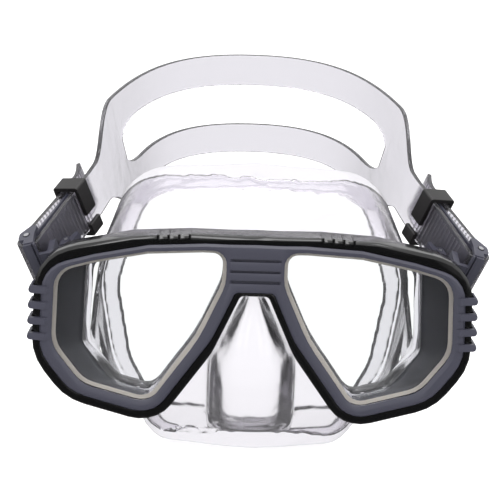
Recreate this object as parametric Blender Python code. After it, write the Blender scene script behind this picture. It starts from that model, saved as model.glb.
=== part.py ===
"""Diving mask: two tempered lenses clamped between a frame and a bezel, a clear silicone
skirt with a nose pocket, and a split silicone strap on swivelling roller buckles.

Metres, +Z up. The origin is the middle of the flat front face of the bridge, between the
lenses. X runs across the face, -Y is the side the diver looks out of, and +Y is the face
side. Frame, bezel, lenses and skirt are drawn flat and then swept back outside the bridge.
"""
import math

import bmesh
import bpy
from mathutils import Matrix, Vector

# ---------------------------------------------------------------- driving dimensions
GAP = 0.0003                 # clearance between neighbouring solids
ARC_STEP = math.radians(15)  # facet angle of rounded corners
LONGEST_RUN = 0.72           # most of an edge that one corner's arc may use

SWEEP_ANGLE = math.radians(7)   # how far each half of the front is swept back
SWEEP_START = 0.0093            # half width of the flat bridge

# Lens window, right half, seen from the front: x, z and corner radius.
WINDOW = [
    (0.0109, 0.0140, 0.005), (0.0412, 0.0135, 0.150), (0.0766, 0.0026, 0.010),
    (0.0782, -0.0278, 0.013), (0.0662, -0.0432, 0.012), (0.0398, -0.0492, 0.008),
    (0.0208, -0.0215, 0.060), (0.0109, 0.0010, 0.015)]

# Widths round the window, one per edge: top inner, top outer, temple, cheek, bottom,
# lower nose, upper nose, bridge.
BEZEL_WIDTHS = [0.0026, 0.0023, 0.0048, 0.0056, 0.0044, 0.0039, 0.0044, 0.0]
RIM_WIDTHS = [0.0030, 0.0046, 0.0030, 0.0040, 0.0040, 0.0036, 0.0026, 0.0]
REAR_INSETS = [0.0018, 0.0010, -0.0112, -0.0080, -0.0010, 0.0018, 0.0018, 0.0018]

BEZEL_NOTCH = -0.0019        # underside of the bezel's bridge
FRAME_NOTCH = -0.0037        # underside of the frame's bridge
NOTCH_RADIUS = 0.0022
CORNER_GROWTH = 0.0015       # extra radius of the frame's upper temple corner

BEZEL_DEPTH = 0.0046
LIP_DEPTH = 0.0016           # bezel lip in front of the glass
SEAT_MARGIN = 0.0018         # lens pocket outside the window
EDGE_CHAMFER = 0.0009
WINDOW_SLOPE = 0.0015        # width of the bezel's slope towards the glass
GROOVE_DEPTH = 0.0012
GROOVE_HALF_WIDTH = 0.0098
GROOVES = [(0.0114, 0.0011), (0.0070, 0.0010), (0.0031, 0.0013)]   # top z, height

CLAW_COUNT = 4
CLAW_TOP = -0.0040
CLAW_PITCH = 0.0063
CLAW_HEIGHT = 0.0028
CLAW_ROOT = 0.0785
CLAW_RISE = 0.0007
CLAW_HOOK = 0.0013
CLAW_REACH = 0.0075

LENS_THICKNESS = 0.0040
LENS_CHAMFER = 0.0004

FRAME_FRONT = 0.0012
FRAME_BACK = 0.0136
FRAME_ROUND = 0.0011
SHOULDER_START = 0.0086      # depth where the rear opening starts to close in
SHOULDER_END = 0.0118
TICK_PLACES = [0.025, 0.029, 0.033, 0.037]
TICK_WIDTH = 0.0008
TICK_RISE = 0.0005

SKIRT_WALL = 0.0018
FLANGE_INSET = 0.0010        # silicone seen just inside the window
SKIRT_FRONT = FRAME_BACK + 0.0004
SKIRT_MIDDLE = 0.027
SKIRT_ARC_STEPS = 5
SEAL_WIDTH = 0.0110
SEAL_STEP = 0.0050
# Skirt outlines, right half: top centre height, then x, z, radius, then bottom height.
SKIRT_FRONT_TOP = 0.0170
SKIRT_FRONT_CORNERS = [(0.060, 0.0140, 0.009), (0.0645, -0.030, 0.010),
                       (0.056, -0.047, 0.010), (0.036, -0.0545, 0.009)]
SKIRT_FRONT_BOTTOM = -0.0545
SKIRT_REAR_TOP = 0.0415
SKIRT_REAR_CORNERS = [(0.0505, 0.0365, 0.026), (0.0665, -0.012, 0.040),
                      (0.0600, -0.048, 0.034), (0.0400, -0.0790, 0.013)]
SKIRT_REAR_BOTTOM = -0.0790
FACE_DEPTH = 0.040           # depth of the seal at the forehead
FACE_CURVE = 3.4             # how much deeper it gets towards the temples, per metre
LIP_FORWARD = 0.008          # how much nearer the upper lip is

NOSE_TOP = -0.0052
NOSE_BOTTOM = -0.0640
NOSE_HALF_WIDTH = 0.0175
NOSE_CLEARANCE = 0.0010
NOSE_LEVELS = 15
NOSE_TIP = -0.0050           # most forward depth of the nose pocket
NOSE_BRIDGE = 0.0090         # depth of its upper end
NOSE_TIP_LEVEL = 0.68        # where the tip is, from top to bottom

PIVOT_Y = 0.0360             # swivel axis of both buckles, parallel to X
PIVOT_Z = -0.0010
PIVOT_RADIUS = 0.0020
EAR_INNER = 0.0714
EAR_THICKNESS = 0.0035
EAR_RADIUS = 0.0055
STRAP_RISE = math.radians(20)   # strap slope behind the pivot
STRAP_LEAN = math.radians(17)   # how far its upper edge leans outward at the buckles

ROLLER_X = 0.0873
ROLLER_RADIUS = 0.0025
ROLLER_PIN_RADIUS = 0.0011
TAIL_WIDTH = 0.0200
STRAP_THICKNESS = 0.0020
STRAP_WIDTH = 0.0540
STRAP_GAP = 0.0220
SPLIT_START = 0.0480         # path lengths behind the keeper
WIDEN_LENGTH = 0.0300
RUN_ANGLE = math.radians(22)
KEEPER_PLACE = 0.0360        # from roller to keeper
TAIL_PAST_KEEPER = 0.0180
TAIL_LIFT = 0.0040
BACK_DEPTH = 0.1375          # from the pivot to the back of the strap
SIDE_HANDLE = 0.0400         # curve handles of the strap's sides and back
BACK_HANDLE = 0.0620
BACK_PIECES = 22
WRAP_PIECES = 8
TAIL_PIECES = 8
RUN_START = 0.0008           # where the straight runs leave the roller
RUN_GAP = 0.0036             # between the two runs inside the keeper
ROLLER_CLEARANCE = 0.0004

ARM_THICKNESS = 0.0016
ARM_ROUND = 0.0032
CHEEK_OFFSET = 0.0098        # inner face of the cheek, inboard of the roller's axis
CHEEK_THICKNESS = 0.0026
CHEEK_BACK = 0.0030
SHIELD_DEPTH = 0.0018        # front wall of the buckle, ahead of the strap's fold
SHIELD_TOP = 0.0062          # its height above the roller's middle
SHIELD_INNER_TOP = -0.0140   # its inner edge, outward from the roller's axis
SHIELD_INNER_LOW = -0.0090
SHIELD_OUTER = -0.0030
STRIP_OUTER = 0.0010         # outer edge of the guard strip beside it
STRIP_DROP = 0.0012          # how far the strip reaches below the lower arm
TONGUE_START = 0.0036        # stiff tongue between the strap's runs, along the run
TONGUE_END = 0.0340
TONGUE_THICKNESS = 0.0014
TONGUE_ROOT = 0.0066         # how far the arms reach back along it
TONGUE_MARGIN = 0.0006       # how much narrower than the strap the tongue is
STRIP_GROOVE = 0.0005
SHIELD_SLOT = 0.0007
LUG_THICKNESS = 0.0016

LEVER_PIN_RADIUS = 0.0008
LEVER_BACK = 0.0130                 # pivot, along the run from the roller's axis
LEVER_EYE = 0.0018
LEVER_CLEARANCE = 0.0006            # from the eye to the strap's inner face
LEVER_LENGTH = 0.0075
LEVER_HALF_WIDTH = 0.0030
LEVER_DROP = 0.0042                 # below the roller's middle

KEEPER_WALL = 0.0018
KEEPER_LENGTH = 0.0080
KEEPER_CLEARANCE = 0.0005
KEEPER_OPENING = 0.0045
KEEPER_HOOK = 0.0060          # height of the hook that closes the lower inner corner

COLOURS = {
    "slate": ((0.055, 0.055, 0.075, 1), 0.38),
    "black": ((0.006, 0.006, 0.008, 1), 0.12),
    "glass": ((0.86, 0.91, 0.91, 1), 0.02),
    "silicone": ((0.80, 0.79, 0.82, 1), 0.30),
    "grey_steel": ((0.45, 0.45, 0.47, 1), 0.30),
    "keeper": ((0.028, 0.026, 0.027, 1), 0.35)}


# ---------------------------------------------------------------- scene helpers
for old in list(bpy.data.objects):
    bpy.data.objects.remove(old, do_unlink=True)


def material(name):
    colour, roughness = COLOURS[name]
    made = bpy.data.materials.get(name) or bpy.data.materials.new(name)
    made.use_nodes = True
    shader = made.node_tree.nodes["Principled BSDF"]
    shader.inputs["Base Color"].default_value = colour
    shader.inputs["Roughness"].default_value = roughness
    shader.inputs["Metallic"].default_value = 1.0 if name == "grey_steel" else 0.0
    return made


def from_bmesh(name, bm, colour):
    """Closes a bmesh into an object with outward faces."""
    bmesh.ops.recalc_face_normals(bm, faces=bm.faces[:])
    if bm.calc_volume(signed=True) < 0:
        bmesh.ops.reverse_faces(bm, faces=bm.faces[:])
    mesh = bpy.data.meshes.new(name)
    bm.to_mesh(mesh)
    bm.free()
    obj = bpy.data.objects.new(name, mesh)
    bpy.context.collection.objects.link(obj)
    obj.data.materials.append(material(colour))
    return obj


def combine(target, tools, operation):
    """Joins or cuts each tool into the target and removes the tool."""
    for tool in tools:
        boolean = target.modifiers.new("combine", "BOOLEAN")
        boolean.operation = operation
        boolean.object = tool
        boolean.solver = "EXACT"
        bpy.context.view_layer.update()
        solid = target.evaluated_get(bpy.context.evaluated_depsgraph_get())
        mesh = bpy.data.meshes.new_from_object(solid)
        target.modifiers.clear()
        target.data = mesh
        bpy.data.objects.remove(tool, do_unlink=True)
    return target


def soften(obj, angle=35):
    """Smooth shading with sharp edges past the angle."""
    obj.data.shade_smooth()
    obj.data.set_sharp_from_angle(angle=math.radians(angle))
    return obj


# ---------------------------------------------------------------- outlines
def rounded(corners, fixed_steps=0):
    """Points of a closed outline whose corners are arcs, of a set number of steps if given."""
    points = []
    for index, (x, z, radius) in enumerate(corners):
        here = Vector((x, z))
        before = Vector(corners[index - 1][:2])
        after = Vector(corners[(index + 1) % len(corners)][:2])
        into = (here - before).normalized()
        out = (after - here).normalized()
        turn = into.angle_signed(out)
        if radius <= 0:
            points.append(here)
            continue
        shorter = min((here - before).length, (after - here).length)
        run = min(radius * math.tan(abs(turn) / 2), LONGEST_RUN * shorter)
        radius = run / math.tan(abs(turn) / 2)
        start = here - into * run
        side = Vector((into.y, -into.x)) if turn > 0 else Vector((-into.y, into.x))
        centre = start + side * radius
        steps = fixed_steps or max(2, math.ceil(abs(turn) / ARC_STEP))
        for step in range(steps + 1):
            arm = Matrix.Rotation(-turn * step / steps, 2) @ (start - centre)
            points.append(centre + arm)
    return points


def line_crossing(point_a, way_a, point_b, way_b):
    """Where two lines in a plane meet."""
    across = way_a.x * way_b.y - way_a.y * way_b.x
    gap = point_b - point_a
    return point_a + way_a * ((gap.x * way_b.y - gap.y * way_b.x) / across)


def grown_edges(widths):
    """The window's edge lines, each moved outward by its own width."""
    lines = []
    for index, width in enumerate(widths):
        start = Vector(WINDOW[index][:2])
        end = Vector(WINDOW[(index + 1) % len(WINDOW)][:2])
        way = (end - start).normalized()
        lines.append((start + Vector((-way.y, way.x)) * width, way))
    return lines


def window_outline(widths):
    """Right window outline with a width per edge; negative widths move inward."""
    if isinstance(widths, float):
        widths = [widths] * len(WINDOW)
    lines = grown_edges(widths)
    corners = []
    for index, (_, _, radius) in enumerate(WINDOW):
        before, after = lines[index - 1], lines[index]
        corner = line_crossing(*before, *after)
        grown = radius + (widths[index - 1] + widths[index]) / 2
        corners.append((corner.x, corner.y, max(grown, 0.6 * radius)))
    return rounded(corners)


def front_outline(widths, notch, top_corner_growth=0.0):
    """Outline of a piece that spans both windows, with the nose notch below."""
    lines = grown_edges(widths)
    top = line_crossing(*lines[0], Vector((0, 0)), Vector((0, 1)))
    half = [(0.0, top.y, 0.0)]
    for index in range(1, 7):
        corner = line_crossing(*lines[index - 1], *lines[index])
        radius = WINDOW[index][2]
        if corner.x < 0.018:
            radius = min(radius, 0.03)
        grown = radius + (widths[index - 1] + widths[index]) / 2
        if index == 2:
            grown += top_corner_growth
        if index == 6:
            grown = radius
        half.append((corner.x, corner.y, grown))
    nose = line_crossing(*lines[6], Vector((0, notch)), Vector((1, 0)))
    half.append((nose.x, notch, NOTCH_RADIUS))
    left = [(-x, z, radius) for x, z, radius in reversed(half[1:])]
    return rounded(half + left)


def both_widths(inner, outer):
    return [a + b for a, b in zip(inner, outer)]


def mirrored(points):
    return [Vector((-p[0], p[1])) for p in reversed(points)]


def skirt_outline(top, corners, bottom, inset=0.0):
    """Whole skirt outline, drawn smaller by the inset."""
    full = [(0.0, top, 0.0)] + list(corners) + [(0.0, bottom, 0.0)]
    full += [(-x, z, radius) for x, z, radius in reversed(corners)]
    lines = []
    for index, corner in enumerate(full):
        start = Vector(corner[:2])
        way = (Vector(full[(index + 1) % len(full)][:2]) - start).normalized()
        lines.append((start + Vector((way.y, -way.x)) * inset, way))
    moved = []
    for index, (x, z, radius) in enumerate(full):
        before, after = lines[index - 1], lines[index]
        if abs(x) < 1e-9:
            moved.append((0.0, line_crossing(*after, Vector((0, 0)), Vector((0, 1))).y, 0.0))
            continue
        corner = line_crossing(*before, *after)
        moved.append((corner.x, corner.y, max(radius - inset, 0.003)))
    return rounded(moved, SKIRT_ARC_STEPS)


# ---------------------------------------------------------------- solids
def loft(name, sections, colour):
    """Solid through closed sections, each a list of 3D points, capped at both ends."""
    bm = bmesh.new()
    rings = [[bm.verts.new(p) for p in section] for section in sections]
    count = len(rings[0])
    for ring, following in zip(rings, rings[1:]):
        for i in range(count):
            j = (i + 1) % count
            bm.faces.new((ring[i], ring[j], following[j], following[i]))
    bm.faces.new(rings[0])
    bm.faces.new(rings[-1])
    return from_bmesh(name, bm, colour)


def facing(outline, depth):
    """An outline in x, z placed at one depth."""
    return [Vector((p[0], depth, p[1])) for p in outline]


def plate(name, steps, colour="slate"):
    """Loft of front-view outlines; steps are (depth, outline)."""
    return loft(name, [facing(outline, depth) for depth, outline in steps], colour)


def extruded(name, outline, low, high, place, colour):
    """Prism of a 2D outline between two heights, put into place by a matrix."""
    ends = [[place @ Vector((p[0], p[1], h)) for p in outline] for h in (low, high)]
    return loft(name, ends, colour)


def round_bar(name, radius, low, high, place, colour, bore=0.0, sides=20):
    """Cylinder about the third axis, with an optional bore."""
    def ring(size, height):
        turn = 2 * math.pi / sides
        return [place @ Vector((size * math.cos(turn * i), size * math.sin(turn * i), height))
                for i in range(sides)]
    if not bore:
        return soften(loft(name, [ring(radius, low), ring(radius, high)], colour), 50)
    bm = bmesh.new()
    rings = [[bm.verts.new(p) for p in ring(size, height)]
             for size, height in ((radius, low), (radius, high), (bore, high), (bore, low))]
    for here, following in zip(rings, rings[1:] + rings[:1]):
        for i in range(sides):
            j = (i + 1) % sides
            bm.faces.new((here[i], here[j], following[j], following[i]))
    return soften(from_bmesh(name, bm, colour), 50)


def sweep_back(obj):
    """Folds both halves of a flat front piece backwards at the bridge."""
    bm = bmesh.new()
    bm.from_mesh(obj.data)
    for side in (-1, 1):
        bmesh.ops.bisect_plane(bm, geom=bm.verts[:] + bm.edges[:] + bm.faces[:], dist=1e-7,
                               plane_co=(side * SWEEP_START, 0, 0), plane_no=(1, 0, 0))
    slope = math.tan(SWEEP_ANGLE)
    for vert in bm.verts:
        vert.co.y += slope * max(0.0, abs(vert.co.x) - SWEEP_START)
    bm.to_mesh(obj.data)
    bm.free()
    return obj


def swept_depth(x, depth):
    return depth + math.tan(SWEEP_ANGLE) * max(0.0, abs(x) - SWEEP_START)


# ---------------------------------------------------------------- front of the mask
FRAME_WIDTHS = both_widths(BEZEL_WIDTHS, RIM_WIDTHS)
FRAME_OUTLINE = front_outline(FRAME_WIDTHS, FRAME_NOTCH, CORNER_GROWTH)


def frame_edge_x(z):
    """Outermost x of the frame at a height."""
    best = 0.0
    count = len(FRAME_OUTLINE)
    for i, p in enumerate(FRAME_OUTLINE):
        q = FRAME_OUTLINE[(i + 1) % count]
        if (p.y - z) * (q.y - z) <= 0 and abs(p.y - q.y) > 1e-9:
            best = max(best, p.x + (q.x - p.x) * (z - p.y) / (q.y - p.y))
    return best


def notch_edge_x(z):
    """Half width of the nose notch at a height."""
    best = 1.0
    count = len(FRAME_OUTLINE)
    for i, p in enumerate(FRAME_OUTLINE):
        q = FRAME_OUTLINE[(i + 1) % count]
        if (p.y - z) * (q.y - z) <= 0 and abs(p.y - q.y) > 1e-9:
            x = p.x + (q.x - p.x) * (z - p.y) / (q.y - p.y)
            if x > 0:
                best = min(best, x)
    return best


def shifted(widths, step):
    return [width + step for width in widths]


def window_pair(steps, name):
    """The same cutter or solid at both windows."""
    right = plate(name, steps)
    left = plate(name, [(depth, mirrored(outline)) for depth, outline in steps])
    return [right, left]


def make_bezel():
    outer = [(0.0, shifted(BEZEL_WIDTHS, -EDGE_CHAMFER)), (EDGE_CHAMFER, BEZEL_WIDTHS),
             (BEZEL_DEPTH, BEZEL_WIDTHS)]
    bezel = plate("retaining_bezel", [
        (depth, front_outline(widths, BEZEL_NOTCH + (EDGE_CHAMFER if depth == 0 else 0)))
        for depth, widths in outer])
    claws = [piece for side in (-1, 1) for index in range(CLAW_COUNT) for piece in claw(side, index)]
    combine(bezel, claws, "UNION")
    slope = WINDOW_SLOPE / EDGE_CHAMFER
    window = [(-0.001, window_outline(WINDOW_SLOPE + 0.001 * slope)), (EDGE_CHAMFER, window_outline(0.0)),
              (BEZEL_DEPTH + 0.002, window_outline(0.0))]
    seat = [(LIP_DEPTH, window_outline(SEAT_MARGIN)),
            (BEZEL_DEPTH + 0.002, window_outline(SEAT_MARGIN))]
    cutters = window_pair(window, "window") + window_pair(seat, "seat")
    for top, height in GROOVES:
        cutters.append(bridge_groove(top, height))
    combine(bezel, cutters, "DIFFERENCE")
    return soften(sweep_back(bezel))


def claw(side, index):
    """Round-ended rib across the black rim, and the hook behind it round the rim's edge."""
    middle = CLAW_TOP - CLAW_HEIGHT / 2 - CLAW_PITCH * index
    high, low = middle + CLAW_HEIGHT / 2, middle - CLAW_HEIGHT / 2
    edge = max(frame_edge_x(high), frame_edge_x(low)) + GAP
    outside = edge + CLAW_HOOK
    tip = CLAW_HEIGHT * 0.48

    def bar(start, front, back):
        outline = [(start, high, 0), (outside, high, tip), (outside, low, tip), (start, low, 0)]
        if side < 0:
            outline = [(-x, z, radius) for x, z, radius in reversed(outline)]
        return plate("claw", [(front, rounded(outline)), (back, rounded(outline))])

    under = FRAME_FRONT - GAP
    return [bar(CLAW_ROOT, -CLAW_RISE, under), bar(edge, under - 0.0002, CLAW_REACH)]


def bridge_groove(top, height):
    """Cutter for one horizontal groove across the bridge, with sloping ends."""
    wide, deep = GROOVE_HALF_WIDTH, GROOVE_DEPTH
    section = [(-wide - deep, -deep), (wide + deep, -deep), (wide - deep, deep), (-wide + deep, deep)]
    return extruded("groove", section, top - height, top, Matrix.Identity(4), "slate")


def make_lens(name, side):
    margin = SEAT_MARGIN - GAP
    front = LIP_DEPTH + GAP
    back = front + LENS_THICKNESS
    steps = [(front, margin - LENS_CHAMFER), (front + LENS_CHAMFER, margin),
             (back - LENS_CHAMFER, margin), (back, margin - LENS_CHAMFER)]
    outlines = [(depth, window_outline(width)) for depth, width in steps]
    if side < 0:
        outlines = [(depth, mirrored(outline)) for depth, outline in outlines]
    return soften(sweep_back(plate(name, outlines, "glass")))


def make_frame():
    small = shifted(FRAME_WIDTHS, -FRAME_ROUND)
    steps = [(FRAME_FRONT, small, FRAME_ROUND), (FRAME_FRONT + FRAME_ROUND, FRAME_WIDTHS, 0),
             (FRAME_BACK - FRAME_ROUND, FRAME_WIDTHS, 0), (FRAME_BACK, small, FRAME_ROUND)]
    frame = plate("main_frame", [
        (depth, front_outline(widths, FRAME_NOTCH + raised, CORNER_GROWTH))
        for depth, widths, raised in steps], "black")
    combine(frame, [tick(side * x) for side in (-1, 1) for x in TICK_PLACES], "UNION")
    recess_floor = BEZEL_DEPTH + GAP
    roomy = shifted(BEZEL_WIDTHS, GAP)
    recess = [(-0.002, front_outline(roomy, BEZEL_NOTCH - GAP)),
              (recess_floor, front_outline(roomy, BEZEL_NOTCH - GAP))]
    opening = [(0.0, window_outline(SEAT_MARGIN)), (SHOULDER_START, window_outline(SEAT_MARGIN)),
               (SHOULDER_END, window_outline(REAR_INSETS)),
               (FRAME_BACK + 0.002, window_outline(REAR_INSETS))]
    combine(frame, [plate("recess", recess)] + window_pair(opening, "opening"), "DIFFERENCE")
    sweep_back(frame)
    combine(frame, [ear(side) for side in (-1, 1)], "UNION")
    holes = [round_bar("hole", PIVOT_RADIUS + GAP, -0.02, 0.02, pivot_place(side * EAR_INNER), "black")
             for side in (-1, 1)]
    return soften(combine(frame, holes, "DIFFERENCE"))


def tick(x):
    """Fine rib across the top of the rim."""
    top = max(p.y + (q.y - p.y) * (x - p.x) / (q.x - p.x)
              for p, q in zip(FRAME_OUTLINE, FRAME_OUTLINE[1:] + FRAME_OUTLINE[:1])
              if (p.x - x) * (q.x - x) <= 0 and abs(p.x - q.x) > 1e-9)
    half = TICK_WIDTH / 2
    low, high = top - 0.0022, top + TICK_RISE
    front, back = FRAME_FRONT - 0.0004, FRAME_BACK - 0.0030
    section = [(x - half, low), (x + half, low), (x + half, high), (x - half, high)]
    return plate("tick", [(front, section), (back, section)])


def pivot_place(x):
    """Matrix with its third axis along X at the swivel axis."""
    return Matrix.Translation((x, PIVOT_Y, PIVOT_Z)) @ Matrix.Rotation(math.pi / 2, 4, "Y")


def ear(side):
    """Lug behind the temple that carries the swivel pin."""
    root = swept_depth(EAR_INNER, FRAME_BACK) - 0.003
    reach = PIVOT_Y - root
    taper = 0.0008
    round_end = EAR_RADIUS
    profile = [(-reach, round_end + taper, 0), (round_end, round_end, round_end * 0.99),
               (round_end, -round_end, round_end * 0.99), (-reach, -round_end - taper, 0)]
    turned = Matrix(((0, 0, 1, 0), (1, 0, 0, PIVOT_Y), (0, 1, 0, PIVOT_Z), (0, 0, 0, 1)))
    low, high = sorted((side * EAR_INNER, side * (EAR_INNER + EAR_THICKNESS)))
    return extruded("ear", rounded(profile), low, high, turned, "black")


# ---------------------------------------------------------------- skirt
def face_depth(x, z):
    """Depth of the sealing edge, which follows a face."""
    lower = min(1.0, max(0.0, -z / 0.079))
    return FACE_DEPTH + FACE_CURVE * x * x - LIP_FORWARD * lower * lower


def seal_ring(inset, step):
    outline = skirt_outline(SKIRT_REAR_TOP, SKIRT_REAR_CORNERS, SKIRT_REAR_BOTTOM, inset)
    return [Vector((p.x, face_depth(p.x, p.y) + step, p.y)) for p in outline]


def middle_ring(inset):
    """Bellows station between the front plate and the seal."""
    front = skirt_outline(SKIRT_FRONT_TOP, SKIRT_FRONT_CORNERS, SKIRT_FRONT_BOTTOM, inset)
    rear = skirt_outline(SKIRT_REAR_TOP, SKIRT_REAR_CORNERS, SKIRT_REAR_BOTTOM, inset)
    ring = []
    for p, q in zip(front, rear):
        mixed = p * 0.42 + q * 0.58
        ring.append(Vector((mixed.x, SKIRT_MIDDLE + 0.25 * (face_depth(q.x, q.y) - FACE_DEPTH), mixed.y)))
    return ring


def nose_ring(level, wall):
    """Horizontal section of the nose pocket, open backwards."""
    share = level / (NOSE_LEVELS - 1)
    z = NOSE_TOP + (NOSE_BOTTOM - NOSE_TOP) * share
    width = min(notch_edge_x(z) - NOSE_CLEARANCE, NOSE_HALF_WIDTH) if share < 0.8 else NOSE_HALF_WIDTH
    if share < NOSE_TIP_LEVEL:
        rise = math.sin(math.pi / 2 * share / NOSE_TIP_LEVEL)
        front = NOSE_BRIDGE + (NOSE_TIP - NOSE_BRIDGE) * rise
    else:
        drop = (share - NOSE_TIP_LEVEL) / (1 - NOSE_TIP_LEVEL)
        front = NOSE_TIP + (SKIRT_FRONT + 0.004 - NOSE_TIP) * (1 - math.sqrt(max(0.0, 1 - drop ** 2)))
    back = SKIRT_FRONT + SKIRT_WALL * 0.5
    if wall:
        z += wall * (0.6 if share > 0.5 else -0.6)
        width, front, back = width - wall, front + wall, SKIRT_FRONT + 0.012
    steps = 14
    ring = []
    for i in range(steps + 1):
        turn = math.pi * i / steps
        across = math.copysign(abs(math.cos(turn)) ** 0.8, math.cos(turn))
        ring.append(Vector((width * across, back - (back - front) * math.sin(turn) ** 0.8, z)))
    return ring


def make_skirt():
    front = facing(skirt_outline(SKIRT_FRONT_TOP, SKIRT_FRONT_CORNERS, SKIRT_FRONT_BOTTOM), SKIRT_FRONT)
    face_plug = facing(skirt_outline(SKIRT_REAR_TOP, SKIRT_REAR_CORNERS, SKIRT_REAR_BOTTOM,
                                     1.6 * SEAL_WIDTH), SKIRT_MIDDLE)
    skirt = loft("skirt", [front, middle_ring(0.0), seal_ring(0.0, -0.0025), seal_ring(0.0012, 0.0),
                           seal_ring(SEAL_WIDTH + 0.0005, -SEAL_STEP), face_plug], "silicone")
    margin = SEAT_MARGIN - GAP
    glass_back = LIP_DEPTH + GAP + LENS_THICKNESS
    rear = shifted(REAR_INSETS, -GAP)
    collar = [(glass_back + GAP, window_outline(margin)),
              (SHOULDER_START - GAP, window_outline(margin)),
              (SHOULDER_END - GAP, window_outline(rear)),
              (SKIRT_FRONT + SKIRT_WALL / 2, window_outline(rear))]
    nose = loft("nose", [nose_ring(level, 0.0) for level in range(NOSE_LEVELS)], "silicone")
    combine(skirt, window_pair(collar, "collar") + [nose], "UNION")
    inner = facing(skirt_outline(SKIRT_FRONT_TOP, SKIRT_FRONT_CORNERS, SKIRT_FRONT_BOTTOM, SKIRT_WALL),
                   SKIRT_FRONT + SKIRT_WALL)
    cavity = loft("cavity", [inner, middle_ring(SKIRT_WALL), seal_ring(SKIRT_WALL, -2 * SKIRT_WALL),
                             seal_ring(SEAL_WIDTH, -SEAL_STEP - SKIRT_WALL),
                             seal_ring(SEAL_WIDTH, 0.010)], "silicone")
    throat = [(0.0, window_outline(-FLANGE_INSET)), (SHOULDER_START - SKIRT_WALL, window_outline(-FLANGE_INSET)),
              (SHOULDER_END - SKIRT_WALL, window_outline(shifted(rear, -SKIRT_WALL - FLANGE_INSET))),
              (SKIRT_FRONT + SKIRT_WALL * 2, window_outline(shifted(rear, -SKIRT_WALL - FLANGE_INSET)))]
    hollow = loft("hollow", [nose_ring(level, SKIRT_WALL) for level in range(NOSE_LEVELS)], "silicone")
    combine(skirt, [cavity] + window_pair(throat, "throat") + [hollow], "DIFFERENCE")
    return soften(sweep_back(skirt), 60)


# ---------------------------------------------------------------- strap and buckles
def strap_place():
    """Strap space: origin on the swivel axis, Y backwards along the strap's slope."""
    return Matrix.Translation((0, PIVOT_Y, PIVOT_Z)) @ Matrix.Rotation(STRAP_RISE, 4, "X")


def buckle_place(side):
    """Buckle space: X outward, Y backward, Z up along the roller, origin at its middle."""
    outward = Vector((side * math.cos(STRAP_LEAN), 0, -math.sin(STRAP_LEAN)))
    up = Vector((side * math.sin(STRAP_LEAN), 0, math.cos(STRAP_LEAN)))
    axes = Matrix((outward, Vector((0, 1, 0)), up)).transposed().to_4x4()
    return strap_place() @ Matrix.Translation((side * ROLLER_X, 0, 0)) @ axes


def run_offset(length):
    """Distance of each strap run from the middle line between them."""
    at_roller = ROLLER_RADIUS + ROLLER_CLEARANCE + STRAP_THICKNESS / 2
    at_keeper = (RUN_GAP + STRAP_THICKNESS) / 2
    share = min(1.0, max(0.0, length / (KEEPER_PLACE - KEEPER_LENGTH)))
    return at_roller + (at_keeper - at_roller) * share


def from_roller(flat):
    """Strap-space place of a point given outward and backward from the right roller."""
    return Vector((ROLLER_X + flat.x * math.cos(STRAP_LEAN), flat.y, -flat.x * math.sin(STRAP_LEAN)))


def strap_half_path():
    """Right half of the strap's middle line, from the back to the tail's end.

    Each entry is a strap-space point and its length behind the keeper, 0 on the tail.
    """
    way = Vector((-math.sin(RUN_ANGLE), math.cos(RUN_ANGLE)))
    side = Vector((way.y, -way.x))

    def on_run(length, offset):
        return from_roller(way * length + side * offset)

    leave = on_run(KEEPER_PLACE + RUN_START, -run_offset(KEEPER_PLACE))
    back = Vector((0, BACK_DEPTH, 0))
    handle_a = leave + (on_run(1, 0) - on_run(0, 0)) * SIDE_HANDLE
    handle_b = back + Vector((BACK_HANDLE, 0, 0))
    curve = []
    for i in range(BACK_PIECES + 1):
        t = 1 - i / BACK_PIECES
        curve.append(leave * (1 - t) ** 3 + handle_a * 3 * (1 - t) ** 2 * t
                     + handle_b * 3 * (1 - t) * t ** 2 + back * t ** 3)
    lengths = [0.0]
    for p, q in zip(reversed(curve), list(reversed(curve))[1:]):
        lengths.append(lengths[-1] + (p - q).length)
    path = list(zip(curve, reversed(lengths)))
    for i in reversed(range(5)):
        length = KEEPER_PLACE * i / 5
        path.append((on_run(length + RUN_START, -run_offset(length)), 0.0))
    wrap = run_offset(0.0)
    for i in range(1, WRAP_PIECES):
        turn = math.pi * i / WRAP_PIECES
        path.append((from_roller(-way * wrap * math.sin(turn) - side * wrap * math.cos(turn)), 0.0))
    for i in range(TAIL_PIECES + 1):
        length = (KEEPER_PLACE + TAIL_PAST_KEEPER) * i / TAIL_PIECES
        past = max(0.0, length - KEEPER_PLACE - KEEPER_LENGTH) / (TAIL_PAST_KEEPER - KEEPER_LENGTH)
        path.append((on_run(length + RUN_START, run_offset(length) + TAIL_LIFT * past ** 1.5), 0.0))
    return path


def strap_rows(length):
    """Heights of the strap's four edge lines at a length behind the keeper."""
    widen = min(1.0, max(0.0, (length - SPLIT_START + WIDEN_LENGTH) / WIDEN_LENGTH))
    widen = widen * widen * (3 - 2 * widen)
    half = (TAIL_WIDTH + (STRAP_WIDTH - TAIL_WIDTH) * widen) / 2
    open_share = min(1.0, max(0.0, (length - SPLIT_START) / 0.020))
    split = 0.002 + (STRAP_GAP / 2 - 0.002) * math.sqrt(1 - (1 - open_share) ** 2)
    return [-half, -split, split, half]


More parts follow.
